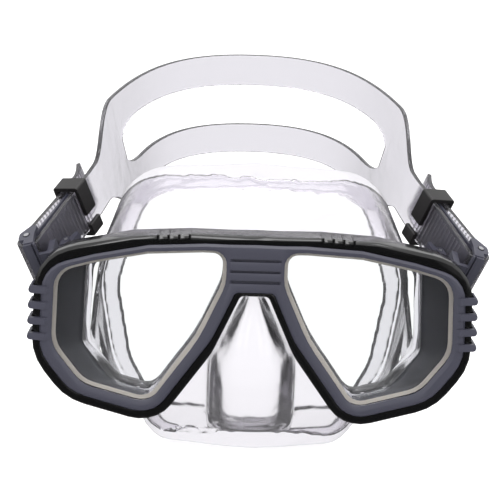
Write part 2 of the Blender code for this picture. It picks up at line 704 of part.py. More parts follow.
def make_strap():
    half = strap_half_path()
    total = half[0][1]
    whole = [(Vector((-p.x, p.y, p.z)), length) for p, length in reversed(half)] + half[1:]
    place = strap_place()
    bm = bmesh.new()
    rings = []
    for index, (point, length) in enumerate(whole):
        before = whole[max(index - 1, 0)][0]
        after = whole[min(index + 1, len(whole) - 1)][0]
        way = (after - before).normalized()
        fade = 1 - min(1.0, length / (0.85 * total))
        lean = STRAP_LEAN * fade * fade * (3 - 2 * fade)
        out = math.copysign(1.0, point.x)
        up = Vector((out * math.sin(lean), 0, math.cos(lean)))
        normal = way.cross(up).normalized() * (STRAP_THICKNESS / 2)
        ring = []
        for height in strap_rows(length):
            here = point + up * height
            ring.append((bm.verts.new(place @ (here + normal)), bm.verts.new(place @ (here - normal))))
        rings.append(ring)

    def wall(a, b):
        bm.faces.new((a[0], b[0], b[1], a[1]))

    split = [length > SPLIT_START for _, length in whole]
    for index, (ring, following) in enumerate(zip(rings, rings[1:])):
        is_split = split[index] and split[index + 1]
        for row in range(3):
            if row == 1 and is_split:
                continue
            for face in (0, 1):
                bm.faces.new((ring[row][face], following[row][face],
                              following[row + 1][face], ring[row + 1][face]))
        wall(ring[0], following[0])
        wall(ring[3], following[3])
        if is_split:
            wall(ring[1], following[1])
            wall(ring[2], following[2])
    for index in range(1, len(rings)):
        if split[index] and not split[index - 1] or split[index - 1] and not split[index]:
            at = rings[index] if split[index] else rings[index - 1]
            wall(at[1], at[2])
    for ring in (rings[0], rings[-1]):
        for row in range(3):
            wall(ring[row], ring[row + 1])
    return soften(from_bmesh("strap", bm, "silicone"), 40)


def lever_pivot():
    """Lever's pivot, outward and backward from the roller's axis."""
    inboard = run_offset(LEVER_BACK) + STRAP_THICKNESS / 2 + LEVER_CLEARANCE + LEVER_EYE
    run = Matrix.Rotation(RUN_ANGLE, 2)
    return run @ Vector((-inboard, LEVER_BACK))


def shield_front():
    """Front face of the buckle's front wall, backward from the roller's axis."""
    return -(run_offset(0.0) + STRAP_THICKNESS / 2 + GAP + SHIELD_DEPTH)


def along_run(length, across):
    """Point of the buckle plane, along the strap's run and across it."""
    return Matrix.Rotation(RUN_ANGLE, 2) @ Vector((across, length))


def arm_outline(reaches_cheek):
    """Arm beside the strap: a round nose at the roller, a root for the tongue and a front foot."""
    front = shield_front() + SHIELD_DEPTH / 2
    outer_root = along_run(TONGUE_ROOT, TONGUE_THICKNESS)
    inner_root = along_run(TONGUE_ROOT, -TONGUE_THICKNESS)
    back = [(ARM_ROUND, -ARM_ROUND, ARM_ROUND * 0.98), (ARM_ROUND, ARM_ROUND * 0.6, 0.0015),
            (*outer_root, 0.0006), (*inner_root, 0.0006)]
    if reaches_cheek:
        return rounded(back + [
            (-CHEEK_OFFSET, CHEEK_BACK, 0.001), (-CHEEK_OFFSET, front, 0.001),
            (SHIELD_OUTER - 0.0004, front, 0.001), (SHIELD_OUTER + 0.0012, -ARM_ROUND, 0.001)])
    return rounded(back + [
        (-ARM_ROUND, 0.0010, 0.001), (SHIELD_OUTER - 0.0006, front, 0.0004),
        (STRIP_OUTER - 0.0004, front, 0.0004), (STRIP_OUTER - 0.0004, -ARM_ROUND, 0.0004)])


def upright(place, back):
    """Matrix whose plane faces backwards at a depth of the buckle: outward, up, then forward."""
    turned = Matrix(((1, 0, 0, 0), (0, 0, -1, back), (0, 1, 0, 0), (0, 0, 0, 1)))
    return place @ turned


def make_buckle(side, label):
    place = buckle_place(side)
    name = "buckle_body_" + label
    inner = TAIL_WIDTH / 2 + 2 * GAP
    outer = inner + ARM_THICKNESS
    flush = 0.0002
    body = extruded(name, arm_outline(False), inner, outer, place, "slate")
    lower = extruded("lower", arm_outline(True), -outer, -inner, place, "slate")
    front = shield_front()
    cheek_low, cheek_high = flush - CHEEK_OFFSET, flush - CHEEK_OFFSET + CHEEK_THICKNESS
    cheek_front = front + SHIELD_DEPTH / 2 + flush
    cheek = extruded("cheek", [(cheek_low, cheek_front), (cheek_high, cheek_front),
                               (cheek_high, CHEEK_BACK - 2 * flush), (cheek_low, CHEEK_BACK - flush)],
                     flush - outer, SHIELD_TOP - 2 * flush, place, "slate")
    face = upright(place, front)
    shield = extruded("shield", rounded([
        (SHIELD_OUTER, SHIELD_TOP, 0), (SHIELD_OUTER, -outer - flush, 0.0010),
        (SHIELD_INNER_LOW, -outer - flush, 0.0015), (SHIELD_INNER_TOP, SHIELD_TOP, 0.0025)]),
        -SHIELD_DEPTH, 0, face, "slate")
    low, high = -outer - STRIP_DROP, outer - 2 * flush
    strip = extruded("strip", rounded([
        (STRIP_OUTER, high, 0.0010), (STRIP_OUTER, low, 0.0015),
        (SHIELD_OUTER - 0.0010, low, 0.0010), (SHIELD_OUTER - 0.0010, high, 0.0004)]),
        flush - SHIELD_DEPTH, flush, face, "slate")
    half = TONGUE_THICKNESS / 2
    root_end = TONGUE_ROOT - 2 * flush
    root = extruded("root", [along_run(TONGUE_START, half), along_run(TONGUE_START, -half),
                             along_run(root_end, -half), along_run(root_end, half)],
                    -inner - flush, inner + flush, place, "slate")
    thin, blade = half - flush, TAIL_WIDTH / 2 - TONGUE_MARGIN
    tongue = extruded("tongue", [along_run(TONGUE_START + flush, thin), along_run(TONGUE_START + flush, -thin),
                                 along_run(TONGUE_END, -thin), along_run(TONGUE_END, thin)],
                      -blade, blade, place, "slate")
    ear_face = EAR_INNER + EAR_THICKNESS + GAP
    reach = ROLLER_X - (CHEEK_OFFSET - CHEEK_THICKNESS) * math.cos(STRAP_LEAN) \
        - EAR_RADIUS * math.sin(STRAP_LEAN) - 2 * flush
    boss_axis = strap_place() @ Matrix.Translation((side * ear_face, 0, 0)) @ \
        Matrix.Rotation(side * math.pi / 2, 4, "Y")
    boss = round_bar("boss", EAR_RADIUS - 0.0005, 0, reach - ear_face, boss_axis, "slate")
    lug_low = LEVER_HALF_WIDTH + GAP
    lugs = [extruded("lug", lug_outline(), start - LEVER_DROP, start + LUG_THICKNESS - LEVER_DROP,
                     place, "slate")
            for start in (lug_low, -lug_low - LUG_THICKNESS)]
    combine(body, [lower, cheek, shield, strip, root, tongue, boss] + lugs, "UNION")
    swivel_hole = round_bar("hole", PIVOT_RADIUS + GAP, -0.01, 0.012, boss_axis, "slate")
    roller_hole = round_bar("hole", ROLLER_PIN_RADIUS + GAP, -0.03, 0.03, place, "slate")
    lever_place = place @ Matrix.Translation((*lever_pivot(), -LEVER_DROP))
    lever_hole = round_bar("hole", LEVER_PIN_RADIUS + GAP, -0.03, 0.03, lever_place, "slate")
    groove = (SHIELD_OUTER - STRIP_GROOVE, SHIELD_OUTER + flush)
    grooves = [extruded("groove", [(groove[0], low - 0.001), (groove[1], low - 0.001), (groove[1], high + 0.001),
                                   (groove[0], high + 0.001)], -STRIP_GROOVE, 0.001, face, "slate")]
    for across, height, length in ((-0.0118, 0.0044, 0.0034), (-0.0072, 0.0018, 0.0022)):
        grooves.append(extruded("slot", [(across, height), (across + length, height),
                                         (across + length, height + SHIELD_SLOT), (across, height + SHIELD_SLOT)],
                                -SHIELD_SLOT, 0.001, face, "slate"))
    combine(body, [swivel_hole, roller_hole, lever_hole] + grooves, "DIFFERENCE")
    soften(body)

    round_bar("strap_roller_" + label, ROLLER_RADIUS, -TAIL_WIDTH / 2, TAIL_WIDTH / 2, place, "black",
              bore=ROLLER_PIN_RADIUS + GAP)
    round_bar("roller_pin_" + label, ROLLER_PIN_RADIUS, -outer - GAP, outer + GAP, place, "grey_steel")
    pin_start = -EAR_THICKNESS - 0.0010
    round_bar("swivel_pin_" + label, PIVOT_RADIUS, pin_start, reach - ear_face - 0.0010, boss_axis,
              "grey_steel")
    make_lever(lever_place, label)


def lug_outline():
    """Lug behind the cheek that carries the lever's pin."""
    pivot = lever_pivot()
    run = Matrix.Rotation(RUN_ANGLE, 2)
    eye = LEVER_EYE - 0.0002
    tip = [pivot + run @ Vector(corner) for corner in ((-eye, eye), (eye, eye), (eye, -eye), (-eye, -eye))]
    inboard = CHEEK_OFFSET
    return rounded([
        (*tip[0], eye * 0.9), (*tip[1], eye * 0.9), (*tip[2], 0), (CHEEK_THICKNESS / 2 - CHEEK_OFFSET, CHEEK_BACK, 0),
        (CHEEK_THICKNESS / 2 - CHEEK_OFFSET, 0, 0), (-inboard, 0, 0), (-inboard, CHEEK_BACK + 0.0020, 0.001),
        (*tip[3], 0)])


def make_lever(place, label):
    """Release lever with a pawl tooth towards the inner run of the strap."""
    eye = LEVER_EYE
    turned = place @ Matrix.Rotation(RUN_ANGLE, 4, "Z")
    profile = [(-eye, -eye, 0.0015), (eye, -0.0015, 0.0006), (eye - 0.0003, eye, 0.0008),
               (0.0002, LEVER_LENGTH, 0.0006), (-eye + 0.0002, LEVER_LENGTH, 0.0006)]
    lever = extruded("release_lever_" + label, rounded(profile), -LEVER_HALF_WIDTH, LEVER_HALF_WIDTH,
                     turned, "slate")
    bore = round_bar("bore", LEVER_PIN_RADIUS + GAP, -0.03, 0.03, place, "slate")
    soften(combine(lever, [bore], "DIFFERENCE"))
    pin = LEVER_HALF_WIDTH + GAP + LUG_THICKNESS
    round_bar("lever_pin_" + label, LEVER_PIN_RADIUS, -pin, pin, place, "grey_steel")


def make_keeper(side, label):
    """C-shaped clip round both strap runs, with its opening at the lower inner corner."""
    lean = buckle_place(side)
    turned = Matrix.Rotation(RUN_ANGLE, 4, "Z")
    centre = lean @ turned @ Matrix.Translation((0, KEEPER_PLACE, 0))
    half_in = RUN_GAP / 2 + STRAP_THICKNESS + KEEPER_CLEARANCE
    high_in = TAIL_WIDTH / 2 + KEEPER_CLEARANCE
    half_out, high_out = half_in + KEEPER_WALL, high_in + KEEPER_WALL
    hook = KEEPER_HOOK + KEEPER_OPENING - high_out
    outline = rounded([
        (-half_out, high_out, 0.0012), (half_out, high_out, 0.0012), (half_out, -high_out, 0.0012),
        (-half_out, -high_out, 0.0012), (-half_out, hook - KEEPER_OPENING, 0.0006), (-half_in, hook - KEEPER_OPENING, 0),
        (-half_in, -high_in, 0), (half_in, -high_in, 0), (half_in, high_in, 0), (-half_in, high_in, 0),
        (-half_in, hook, 0), (-half_out, hook, 0.0006)])
    flipped = Matrix.Rotation(math.pi / 2, 4, "X")
    keeper = extruded("strap_keeper_" + label, outline, -KEEPER_LENGTH / 2, KEEPER_LENGTH / 2,
                      centre @ flipped, "keeper")
    soften(keeper)


make_frame()
make_bezel()
make_lens("lens_left", -1)
make_lens("lens_right", 1)
make_skirt()
make_strap()
for hand, word in ((-1, "left"), (1, "right")):
    make_buckle(hand, word)
    make_keeper(hand, word)
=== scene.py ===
# %% [markdown]
# # A diving mask in clear silicone, glass and moulded plastic
#
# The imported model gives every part's place, the joints and the bodies that move. This script
# keeps those sizes and builds the visible surfaces and finishes around them. All lengths are in
# metres, X runs across the face, -Y is the side the diver looks out of, and Z is up.

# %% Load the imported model
import math

import bmesh
import bpy
from mathutils import Matrix, Vector


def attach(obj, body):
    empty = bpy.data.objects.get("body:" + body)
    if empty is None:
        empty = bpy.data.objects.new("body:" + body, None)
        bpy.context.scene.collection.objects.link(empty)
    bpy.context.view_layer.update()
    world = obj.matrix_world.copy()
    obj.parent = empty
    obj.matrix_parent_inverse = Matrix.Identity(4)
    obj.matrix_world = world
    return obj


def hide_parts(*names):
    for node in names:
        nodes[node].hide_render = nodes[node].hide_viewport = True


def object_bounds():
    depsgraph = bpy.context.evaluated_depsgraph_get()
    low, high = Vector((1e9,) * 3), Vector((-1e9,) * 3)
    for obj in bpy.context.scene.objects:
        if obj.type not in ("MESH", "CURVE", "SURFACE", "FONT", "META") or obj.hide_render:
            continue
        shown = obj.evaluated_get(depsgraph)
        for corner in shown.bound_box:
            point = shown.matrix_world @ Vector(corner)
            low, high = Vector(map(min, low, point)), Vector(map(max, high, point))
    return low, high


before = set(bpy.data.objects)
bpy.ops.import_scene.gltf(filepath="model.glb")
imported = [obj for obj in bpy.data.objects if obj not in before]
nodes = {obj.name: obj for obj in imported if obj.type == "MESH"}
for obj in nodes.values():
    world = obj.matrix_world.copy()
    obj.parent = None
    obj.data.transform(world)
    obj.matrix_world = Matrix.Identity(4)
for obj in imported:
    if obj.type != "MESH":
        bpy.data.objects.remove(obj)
cad_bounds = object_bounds()
print("CAD box", [[round(value, 4) for value in corner] for corner in cad_bounds])

# %% [markdown]
# ## Camera
# A mask is best shown with a long lens, a little above eye level, so that the front keeps its
# proportions and the strap behind it still shows. The camera is placed from an aim point, a
# distance and three angles, because each of those can then be tuned alone.

# %% Camera
AIM = Vector((-0.0023, 0.0038, 0.0141))
DISTANCE = 0.450
AZIMUTH = math.radians(-1.2)
ELEVATION = math.radians(15.0)
ROLL = math.radians(2.0)
LENS_MM = 86.2
SENSOR_MM = 36.0
NEAREST = 0.01

away = Vector((math.sin(AZIMUTH) * math.cos(ELEVATION), -math.cos(AZIMUTH) * math.cos(ELEVATION),
               math.sin(ELEVATION)))
across = Vector((0, 0, 1)).cross(away).normalized()
upright = away.cross(across)
across_rolled = across * math.cos(ROLL) + upright * math.sin(ROLL)
upright_rolled = upright * math.cos(ROLL) - across * math.sin(ROLL)
camera = bpy.data.objects.new("camera", bpy.data.cameras.new("camera"))
bpy.context.scene.collection.objects.link(camera)
turned = Matrix((across_rolled, upright_rolled, away)).transposed().to_4x4()
camera.matrix_world = Matrix.Translation(AIM + away * DISTANCE) @ turned
camera.data.lens = LENS_MM
camera.data.sensor_width = SENSOR_MM
camera.data.clip_start = NEAREST
bpy.context.scene.camera = camera
print("camera at", [round(value, 3) for value in camera.matrix_world.translation])

# %% [markdown]
# ## Colour and node helpers
# Colours are written as sRGB hex, which is how a colour is picked, and one function
# turns them to the linear values that the shader works with. A second one adds any node with
# its settings and links, so that each material below reads as a short recipe.


# %% Helpers for materials
def linear(hex_colour):
    """sRGB hex to a linear colour with alpha 1."""
    values = []
    for start in (0, 2, 4):
        c = int(hex_colour[start:start + 2], 16) / 255
        values.append(c / 12.92 if c <= 0.04045 else ((c + 0.055) / 1.055) ** 2.4)
    return (*values, 1.0)


def add_node(tree, kind, settings=None, **sockets):
    """Adds a node; sockets are values or output sockets to link, by name."""
    node = tree.nodes.new(kind)
    for name, value in (settings or {}).items():
        setattr(node, name, value)
    for name, value in sockets.items():
        socket = node.inputs[name.replace("_", " ")]
        if isinstance(value, bpy.types.NodeSocket):
            tree.links.new(value, socket)
        else:
            socket.default_value = value
    return node


def new_material(name):
    """Empty node material; returns it with its tree and output node."""
    made = bpy.data.materials.new(name)
    made.use_nodes = True
    tree = made.node_tree
    tree.nodes.clear()
    return made, tree, tree.nodes.new("ShaderNodeOutputMaterial")

# %% [markdown]
# ## Moulded plastic
# The rim, bezel, buckles and keepers are injection moulded. What the eye reads as plastic is
# the fine grain of the mould and a gloss that changes a little from place to place, so the
# recipe is one colour, a noise for the grain and a slower noise for the roughness.

# %% Moulded plastic
MM = 0.001
PLASTIC_IOR = 1.5
COAT_ROUGHNESS = 0.06
HANDLING_SCALE = 60.0        # patches about 17 mm wide


def moulded_plastic(name, colour, roughness, grain_mm, grain_height_mm, coat=0.0):
    made, tree, output = new_material(name)
    place = add_node(tree, "ShaderNodeTexCoord")
    grain = add_node(tree, "ShaderNodeTexNoise", Vector=place.outputs["Object"],
                     Scale=1 / (grain_mm * MM), Detail=2.0)
    handling = add_node(tree, "ShaderNodeTexNoise", Vector=place.outputs["Object"],
                        Scale=HANDLING_SCALE, Detail=3.0)
    varied = add_node(tree, "ShaderNodeMapRange", Value=handling.outputs["Fac"],
                      To_Min=roughness * 0.85, To_Max=roughness * 1.2)
    bump = add_node(tree, "ShaderNodeBump", Height=grain.outputs["Fac"], Strength=1.0,
                    Distance=grain_height_mm * MM)
    shader = add_node(tree, "ShaderNodeBsdfPrincipled", Base_Color=linear(colour),
                      Roughness=varied.outputs["Result"], IOR=PLASTIC_IOR, Coat_Weight=coat,
                      Coat_Roughness=COAT_ROUGHNESS, Normal=bump.outputs["Normal"])
    tree.links.new(shader.outputs["BSDF"], output.inputs["Surface"])
    print("made", name)
    return made


# Polycarbonate takes a mirror polish from its mould: deep black, with a clear hard gloss.
FRAME_BLACK = moulded_plastic("gloss_black_polycarbonate", "050506", 0.16, 0.9, 0.003, coat=0.4)
# Nylon comes out of a blasted mould satin: soft, wide highlights on a blue-grey.
BEZEL_SLATE = moulded_plastic("satin_slate_nylon", "3d3d49", 0.34, 0.35, 0.010)
# The rim's hidden shoulder is left matt and a little uneven; its dark slate tone is painted
# shade for the darkness seen behind the lenses.
SHOULDER_PAINTED_SHADE = moulded_plastic("matt_slate_painted_shade", "20222e", 0.62, 3.0, 0.012)
# Acetal is waxy, so its black is a touch warmer and never quite shiny.
KEEPER_BLACK = moulded_plastic("satin_black_acetal", "161415", 0.36, 0.4, 0.008)
# The lip of the seal is dull pale rubber.
SEAL_CREAM = moulded_plastic("cream_silicone_seal", "d8cfc8", 0.45, 0.6, 0.004)

# %% [markdown]
# ## Glass and clear silicone
# Both are clear solids that bend light. Silicone bends it less than glass, is never perfectly
# flat, and takes a faint grey from its thickness. Rays from the lamps would be stopped by a
# solid that bends light, so for those rays most of the surface is swapped for a clear one.

# %% Glass and silicone
GLASS_IOR = 1.52
SILICONE_IOR = 1.41
FLOW_SCALE = 70.0            # waves about 14 mm long, from how the rubber filled its mould
FLOW_HEIGHT = 0.3 * MM


def lets_lamps_through(tree, shader, output, share):
    """Mixes in a clear shader for lamp rays, so what is behind stays lit."""
    path = add_node(tree, "ShaderNodeLightPath")
    amount = add_node(tree, "ShaderNodeMath", {"operation": "MULTIPLY"})
    tree.links.new(path.outputs["Is Shadow Ray"], amount.inputs[0])
    amount.inputs[1].default_value = share
    clear = add_node(tree, "ShaderNodeBsdfTransparent", Color=(1, 1, 1, 1))
    mix = add_node(tree, "ShaderNodeMixShader", Fac=amount.outputs["Value"])
    tree.links.new(shader.outputs["BSDF"], mix.inputs[1])
    tree.links.new(clear.outputs["BSDF"], mix.inputs[2])
    tree.links.new(mix.outputs["Shader"], output.inputs["Surface"])


def tempered_glass():
    made, tree, output = new_material("tempered_lens_glass")
    shader = add_node(tree, "ShaderNodeBsdfPrincipled", Base_Color=linear("fcfefe"),
                      Roughness=0.0, IOR=GLASS_IOR, Transmission_Weight=1.0)
    lets_lamps_through(tree, shader, output, 0.95)
    return made


def clear_silicone(name, colour, roughness, transmission):
    made, tree, output = new_material(name)
    place = add_node(tree, "ShaderNodeTexCoord")
    flow = add_node(tree, "ShaderNodeTexNoise", Vector=place.outputs["Object"],
                    Scale=FLOW_SCALE, Detail=2.0)
    bump = add_node(tree, "ShaderNodeBump", Height=flow.outputs["Fac"], Strength=1.0,
                    Distance=FLOW_HEIGHT)
    shader = add_node(tree, "ShaderNodeBsdfPrincipled", Base_Color=linear(colour),
                      Roughness=roughness, IOR=SILICONE_IOR, Transmission_Weight=transmission,
                      Normal=bump.outputs["Normal"])
    lets_lamps_through(tree, shader, output, 0.75)
    return made


# Tempered glass is float glass: flat, colourless and mirror smooth.
LENS_GLASS = tempered_glass()
# The skirt's liquid silicone is clear, with a faint cool grey where walls overlap.
CLEAR_SILICONE = clear_silicone("clear_silicone_rubber", "efedf2", 0.12, 0.985)
# The strap's is stiffer and a little greyer, with a softer surface.
STRAP_SILICONE = clear_silicone("clear_strap_silicone", "e4e2e8", 0.14, 0.98)
print("made", LENS_GLASS.name, CLEAR_SILICONE.name, STRAP_SILICONE.name)

# %% [markdown]
# ## Pins
# The pins are cut from drawn stainless wire. Only their ends show, so a plain metal with a
# medium gloss is enough.


# %% Stainless steel
def drawn_steel():
    made, tree, output = new_material("stainless_pin_steel")
    shader = add_node(tree, "ShaderNodeBsdfPrincipled", Base_Color=linear("b9b9bd"),
                      Roughness=0.28, Metallic=1.0)
    tree.links.new(shader.outputs["BSDF"], output.inputs["Surface"])
    return made


PIN_STEEL = drawn_steel()
print("made", PIN_STEEL.name)

# %% [markdown]
# ## Hard parts
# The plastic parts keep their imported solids. They could be bevelled where they were drawn, but
# that would spend faces on edges that only matter to the eye. So a copy of each is merged here,
# freed of its flat triangle edges and given a small bevel, because a moulded edge is never
# perfectly sharp, and it is the thin light along such an edge that makes a part look real.


# %% Bevelled copies of the plastic parts
SAME_POINT = 1e-6
FLAT_ENOUGH = math.radians(1.0)
EDGE_STEPS = 2
BEVEL_PAST = math.radians(32)
SHARP_PAST = math.radians(50)


def merged_copy(node, name):
    """Editable copy of a CAD node with its doubles merged and flat faces joined."""
    mesh = nodes[node].data.copy()
    bm = bmesh.new()
    bm.from_mesh(mesh)
    bmesh.ops.remove_doubles(bm, verts=bm.verts[:], dist=SAME_POINT)
    bmesh.ops.dissolve_limit(bm, angle_limit=FLAT_ENOUGH, verts=bm.verts[:], edges=bm.edges[:])
    bm.to_mesh(mesh)
    bm.free()
    mesh.name = name
    copy = bpy.data.objects.new(name, mesh)
    bpy.context.scene.collection.objects.link(copy)
    return copy


def finish_plastic(node, name, body, material, bevel):
    """Bevelled, smooth-shaded stand-in for a plastic CAD node."""
    piece = merged_copy(node, name)
    edge = piece.modifiers.new("moulded edge", "BEVEL")
    edge.width = bevel
    edge.segments = EDGE_STEPS
    edge.limit_method = "ANGLE"
    edge.angle_limit = BEVEL_PAST
    edge.harden_normals = True
    edge.use_clamp_overlap = True
    piece.data.shade_smooth()
    piece.data.set_sharp_from_angle(angle=SHARP_PAST)
    piece.data.materials.clear()
    piece.data.materials.append(material)
    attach(piece, body)
    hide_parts(node)
    print(name, len(piece.data.polygons), "faces before its bevel")
    return piece


HANDS = ("left", "right")
rim = finish_plastic("main_frame", "frame_moulding", "mask", FRAME_BLACK, 0.00035)
finish_plastic("retaining_bezel", "bezel_moulding", "mask", BEZEL_SLATE, 0.00025)
for hand in HANDS:
    finish_plastic("buckle_body_" + hand, "buckle_moulding_" + hand, "harness",
                   BEZEL_SLATE, 0.0003)
    finish_plastic("strap_keeper_" + hand, "keeper_moulding_" + hand, "keeper_" + hand,
                   KEEPER_BLACK, 0.0003)
    finish_plastic("release_lever_" + hand, "lever_moulding_" + hand, "lever_" + hand,
                   BEZEL_SLATE, 0.0002)

# %% [markdown]
# ## The rim's shoulder
# Behind each lens the rim closes in towards the face, and that shoulder shows dark through the
# glass and the skirt. It isn't polished like the front, so its faces get their own matt slate,
# and that slate's dark tone is painted shade: they are the faces that look forward and lie
# deeper than the lens pocket.

# %% The matt shoulder behind the lenses, in painted shade
SHOULDER_DEPTH = 0.0080      # behind the front face, where the shoulder starts
SWEEP = math.tan(math.radians(7))    # both halves of the rim are swept back past the bridge
BRIDGE_HALF = 0.0093
LOOKS_FORWARD = -0.3

# Painted shade: faces that look forward deep in the rim get the darker matt slate.
rim.data.materials.append(SHOULDER_PAINTED_SHADE)
inner_faces = 0
for face in rim.data.polygons:
    swept = SWEEP * max(0.0, abs(face.center.x) - BRIDGE_HALF)
    if face.normal.y < LOOKS_FORWARD and face.center.y - swept > SHOULDER_DEPTH:
        face.material_index = 1
        inner_faces += 1
print("shoulder faces", inner_faces)

# %% [markdown]
# ## Lenses, rollers and pins
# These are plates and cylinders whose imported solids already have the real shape, chamfers
# included, so they stay and only get their finish.


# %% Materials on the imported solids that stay
def dress(node, material):
    nodes[node].data.materials.clear()
    nodes[node].data.materials.append(material)
    print(node, "is now", material.name)


for hand in HANDS:
    dress("lens_" + hand, LENS_GLASS)
    dress("strap_roller_" + hand, FRAME_BLACK)
    for pin in ("roller_pin_", "swivel_pin_", "lever_pin_"):
        dress(pin + hand, PIN_STEEL)

# %% [markdown]
# ## The lens seals
# Where the skirt's lip presses on the back of each lens, a thin pale line shows all round the
# window. It could be swept along a curve, but the curve would have to follow the glass. So each
# seal is cut from its own lens: the back face is inset a little and inset again, and only the
# ring between the two is kept, which follows the glass exactly. Solidify gives it its body.


# %% Pale lips behind the lenses
LENS_SEAT = 0.0003        # where the hidden outer edge starts
SEAL_LIP = 0.0021
SEAL_DROP = 0.0005        # the glass lifts the look of its back, so the inner edge sits lower
SEAL_GAP = 0.00008
SEAL_THICKNESS = 0.00015
LENS_FLAT = math.radians(2)
LOOKS_BACK = 0.5


def lens_seal(hand):
    mesh = nodes["lens_" + hand].data.copy()
    bm = bmesh.new()
    bm.from_mesh(mesh)
    bmesh.ops.remove_doubles(bm, verts=bm.verts[:], dist=SAME_POINT)
    bmesh.ops.dissolve_limit(bm, angle_limit=LENS_FLAT, verts=bm.verts[:], edges=bm.edges[:])
    back = max((face for face in bm.faces if face.normal.y > LOOKS_BACK),
               key=lambda face: face.calc_area())
    behind = back.normal.copy()

    def keep_back():
        others = [face for face in bm.faces if face is not back]
        bmesh.ops.delete(bm, geom=others, context="FACES")

    keep_back()
    bmesh.ops.inset_individual(bm, faces=[back], thickness=LENS_SEAT, use_even_offset=True)
    keep_back()
    bmesh.ops.inset_individual(bm, faces=[back], thickness=SEAL_LIP, use_even_offset=True)
    for vert in back.verts:
        vert.co.z -= SEAL_DROP
    bmesh.ops.delete(bm, geom=[back], context="FACES_ONLY")
    for vert in bm.verts:
        vert.co += behind * SEAL_GAP
    bm.to_mesh(mesh)
    bm.free()
    piece = bpy.data.objects.new("lens_seal_" + hand, mesh)
    bpy.context.scene.collection.objects.link(piece)
    thick = piece.modifiers.new("lip thickness", "SOLIDIFY")
    thick.thickness = SEAL_THICKNESS
    thick.offset = 1.0
    mesh.materials.clear()
    mesh.materials.append(SEAL_CREAM)
    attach(piece, "mask")
    print(piece.name, len(mesh.polygons), "faces")


for hand in HANDS:
    lens_seal(hand)

# %% [markdown]
# ## The skirt
# The skirt is one moulded shell of clear silicone, and a mould leaves a round fillet wherever
# two walls meet. Bevelling every meeting of nose pocket, collars and bellows by hand would take
# long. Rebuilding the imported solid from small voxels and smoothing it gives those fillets
# everywhere at once, and the slight unevenness that it leaves is what soft rubber has.


# %% Smooth silicone skirt
VOXEL = 1.0 * MM
FILLET_ROUNDS = 14
FILLET_STRENGTH = 0.5


def moulded_from_voxels(node, name, voxel, rounds):
    piece = merged_copy(node, name)
    remesh = piece.modifiers.new("voxels", "REMESH")
    remesh.mode = "VOXEL"
    remesh.voxel_size = voxel
    smooth = piece.modifiers.new("fillets", "SMOOTH")
    smooth.factor = FILLET_STRENGTH
    smooth.iterations = rounds
    bpy.context.view_layer.update()
    solid = piece.evaluated_get(bpy.context.evaluated_depsgraph_get())
    mesh = bpy.data.meshes.new_from_object(solid)
    piece.modifiers.clear()
    piece.data = mesh
    mesh.name = name
    mesh.shade_smooth()
    return piece


skirt = moulded_from_voxels("skirt", "skirt_moulding", VOXEL, FILLET_ROUNDS)
skirt.data.materials.clear()
skirt.data.materials.append(CLEAR_SILICONE)
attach(skirt, "mask")
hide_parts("skirt")
print("skirt", len(skirt.data.polygons), "faces")

# %% [markdown]
# ## The strap
# One flat band of silicone, split in two behind the head. At each side it turns round the
# buckle's roller and its tail comes back through the keeper. A flat band like this is drawn
# directly: its middle line first, then four edge lines across it at every station, and a
# Bevel modifier for the rounded edges that the mould leaves.

# %% The strap's sizes
PIVOT = Vector((0, 0.0360, -0.0010))
STRAP_RISE = math.radians(20)    # slope behind the pivot
STRAP_LEAN = math.radians(17)    # how far its upper edge leans outward at the buckles
RUN_ANGLE = math.radians(22)     # how far the runs turn inward behind the roller
ROLLER_X = 0.0873
ROLLER_RADIUS = 0.0025
ROLLER_CLEARANCE = 0.0004
STRAP_THICKNESS = 0.0020
TAIL_WIDTH = 0.0200
STRAP_WIDTH = 0.0540
STRAP_GAP = 0.0220
SPLIT_START = 0.0480         # lengths behind the keeper
SPLIT_ROUND = 0.020          # length of the split's round end
SPLIT_TIP = 0.002            # half width of its tip
WIDEN_LENGTH = 0.0300
LEAN_FADES = 0.85            # share of the way to the back where the lean is gone
KEEPER_PLACE = 0.0360        # from roller to keeper
KEEPER_LENGTH = 0.0080
TAIL_PAST_KEEPER = 0.0180
TAIL_LIFT = 0.0040
RUN_START = 0.0008
RUN_GAP = 0.0036
BACK_DEPTH = 0.1375
SIDE_HANDLE = 0.0400
BACK_HANDLE = 0.0620
STATIONS = {"back": 66, "run": 10, "wrap": 18, "tail": 27}
EDGE_ROUND = 0.0005
EDGE_ROUND_STEPS = 3
EDGE_PAST = math.radians(60)

strap_place = Matrix.Translation(PIVOT) @ Matrix.Rotation(STRAP_RISE, 4, "X")
run_way = Vector((-math.sin(RUN_ANGLE), math.cos(RUN_ANGLE)))
run_side = Vector((run_way.y, -run_way.x))
print("strap runs", round((KEEPER_PLACE + TAIL_PAST_KEEPER) / MM), "mm back from each roller")

# %% [markdown]
# A point of the strap is first given flat, outward and backward from the right roller, then
# put in the strap's own sloping space, and last in the world. The left half is the mirror
# image of the right one, so only one half is ever worked out.


# %% The strap's middle line
def run_offset(length):
    """Distance of each run from the middle line between the two."""
    at_roller = ROLLER_RADIUS + ROLLER_CLEARANCE + STRAP_THICKNESS / 2
    at_keeper = (RUN_GAP + STRAP_THICKNESS) / 2
    share = min(1.0, max(0.0, length / (KEEPER_PLACE - KEEPER_LENGTH)))
    return at_roller + (at_keeper - at_roller) * share


def tail_offset(length):
    """The tail's offset, which lifts away past the keeper."""
    past = max(0.0, length - KEEPER_PLACE - KEEPER_LENGTH) / (TAIL_PAST_KEEPER - KEEPER_LENGTH)
    return run_offset(length) + TAIL_LIFT * past ** 1.5


def from_roller(flat):
    """Strap-space place of a point given outward and backward from the right roller."""
    return Vector((ROLLER_X + flat.x * math.cos(STRAP_LEAN), flat.y,
                   -flat.x * math.sin(STRAP_LEAN)))


def on_run(length, offset):
    return from_roller(run_way * length + run_side * offset)


